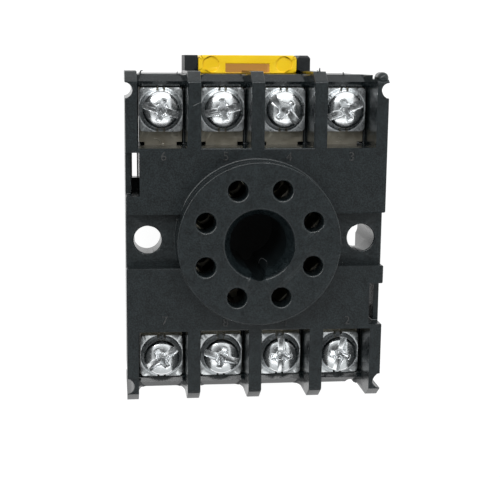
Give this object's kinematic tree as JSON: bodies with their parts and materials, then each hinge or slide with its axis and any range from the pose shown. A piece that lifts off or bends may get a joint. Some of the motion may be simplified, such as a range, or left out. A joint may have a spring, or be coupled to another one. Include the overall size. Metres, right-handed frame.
{
  "type": "relay socket",
  "caption": "Octal relay socket: black moulded body with a round keyed plug face, screw terminals in two rows, two mounting holes and a yellow slider that latches it on a 35 mm rail.",
  "frame": {"origin": "on the back plane, under the axis of the round plug face, midway between the mounting holes", "axes": "+Z out of the plug face, +Y along the body towards the rail slider, +X across the body from the first terminal to the fourth"},
  "size_m": [0.0396, 0.0532, 0.024],
  "materials": {
    "front_moulding": "satin black moulding with a fine grain",
    "rear_moulding": "satin black moulding",
    "slider_yellow": "smooth yellow moulding",
    "strip_metal": "nickel plated, dull",
    "plated_steel": "bright zinc plated"
  },
  "bodies": {
    "body": {"housing": "front_moulding", "base_cover": "rear_moulding", "base_screw_1": "plated_steel", "base_screw_2": "plated_steel", "terminal_strip_1": "strip_metal", "terminal_strip_2": "strip_metal", "terminal_strip_3": "strip_metal", "terminal_strip_4": "strip_metal", "terminal_strip_5": "strip_metal", "terminal_strip_6": "strip_metal", "terminal_strip_7": "strip_metal", "terminal_strip_8": "strip_metal"},
    "slider": {"rail_slider": "slider_yellow"},
    "clamp_1": {"clamp_plate_1": "plated_steel"},
    "screw_1": {"terminal_screw_1": "plated_steel"},
    "clamp_2": {"clamp_plate_2": "plated_steel"},
    "screw_2": {"terminal_screw_2": "plated_steel"},
    "clamp_3": {"clamp_plate_3": "plated_steel"},
    "screw_3": {"terminal_screw_3": "plated_steel"},
    "clamp_4": {"clamp_plate_4": "plated_steel"},
    "screw_4": {"terminal_screw_4": "plated_steel"},
    "clamp_5": {"clamp_plate_5": "plated_steel"},
    "screw_5": {"terminal_screw_5": "plated_steel"},
    "clamp_6": {"clamp_plate_6": "plated_steel"},
    "screw_6": {"terminal_screw_6": "plated_steel"},
    "clamp_7": {"clamp_plate_7": "plated_steel"},
    "screw_7": {"terminal_screw_7": "plated_steel"},
    "clamp_8": {"clamp_plate_8": "plated_steel"},
    "screw_8": {"terminal_screw_8": "plated_steel"}
  },
  "joints": [
    {"name": "slider_pull", "type": "slide", "parent": "body", "child": "slider", "axis": [0, 1, 0], "range_m": [0, 0.003], "stiffness_N_per_m": 2000},
    {"name": "clamp_lift_1", "type": "slide", "parent": "body", "child": "clamp_1", "axis": [0, 0, 1], "range_m": [0, 0.0024]},
    {"name": "screw_turn_1", "type": "hinge", "parent": "clamp_1", "child": "screw_1", "pos_m": [-0.01425, 0.0195, 0.0142], "axis": [0, 0, 1], "range_deg": [0, 1441]},
    {"name": "clamp_lift_2", "type": "slide", "parent": "body", "child": "clamp_2", "axis": [0, 0, 1], "range_m": [0, 0.0024]},
    {"name": "screw_turn_2", "type": "hinge", "parent": "clamp_2", "child": "screw_2", "pos_m": [-0.00475, 0.0195, 0.0142], "axis": [0, 0, 1], "range_deg": [0, 1441]},
    {"name": "clamp_lift_3", "type": "slide", "parent": "body", "child": "clamp_3", "axis": [0, 0, 1], "range_m": [0, 0.0024]},
    {"name": "screw_turn_3", "type": "hinge", "parent": "clamp_3", "child": "screw_3", "pos_m": [0.00475, 0.0195, 0.0142], "axis": [0, 0, 1], "range_deg": [0, 1441]},
    {"name": "clamp_lift_4", "type": "slide", "parent": "body", "child": "clamp_4", "axis": [0, 0, 1], "range_m": [0, 0.0024]},
    {"name": "screw_turn_4", "type": "hinge", "parent": "clamp_4", "child": "screw_4", "pos_m": [0.01425, 0.0195, 0.0142], "axis": [0, 0, 1], "range_deg": [0, 1441]},
    {"name": "clamp_lift_5", "type": "slide", "parent": "body", "child": "clamp_5", "axis": [0, 0, 1], "range_m": [0, 0.0024]},
    {"name": "screw_turn_5", "type": "hinge", "parent": "clamp_5", "child": "screw_5", "pos_m": [0.01425, -0.0195, 0.0142], "axis": [0, 0, 1], "range_deg": [0, 1441]},
    {"name": "clamp_lift_6", "type": "slide", "parent": "body", "child": "clamp_6", "axis": [0, 0, 1], "range_m": [0, 0.0024]},
    {"name": "screw_turn_6", "type": "hinge", "parent": "clamp_6", "child": "screw_6", "pos_m": [0.00475, -0.0195, 0.0142], "axis": [0, 0, 1], "range_deg": [0, 1441]},
    {"name": "clamp_lift_7", "type": "slide", "parent": "body", "child": "clamp_7", "axis": [0, 0, 1], "range_m": [0, 0.0024]},
    {"name": "screw_turn_7", "type": "hinge", "parent": "clamp_7", "child": "screw_7", "pos_m": [-0.00475, -0.0195, 0.0142], "axis": [0, 0, 1], "range_deg": [0, 1441]},
    {"name": "clamp_lift_8", "type": "slide", "parent": "body", "child": "clamp_8", "axis": [0, 0, 1], "range_m": [0, 0.0024]},
    {"name": "screw_turn_8", "type": "hinge", "parent": "clamp_8", "child": "screw_8", "pos_m": [-0.01425, -0.0195, 0.0142], "axis": [0, 0, 1], "range_deg": [0, 1441]}
  ],
  "couplings": [
    {"joint": "screw_turn_1", "follows": "clamp_lift_1", "rad_per_m": 10472},
    {"joint": "screw_turn_2", "follows": "clamp_lift_2", "rad_per_m": 10472},
    {"joint": "screw_turn_3", "follows": "clamp_lift_3", "rad_per_m": 10472},
    {"joint": "screw_turn_4", "follows": "clamp_lift_4", "rad_per_m": 10472},
    {"joint": "screw_turn_5", "follows": "clamp_lift_5", "rad_per_m": 10472},
    {"joint": "screw_turn_6", "follows": "clamp_lift_6", "rad_per_m": 10472},
    {"joint": "screw_turn_7", "follows": "clamp_lift_7", "rad_per_m": 10472},
    {"joint": "screw_turn_8", "follows": "clamp_lift_8", "rad_per_m": 10472}
  ]
}
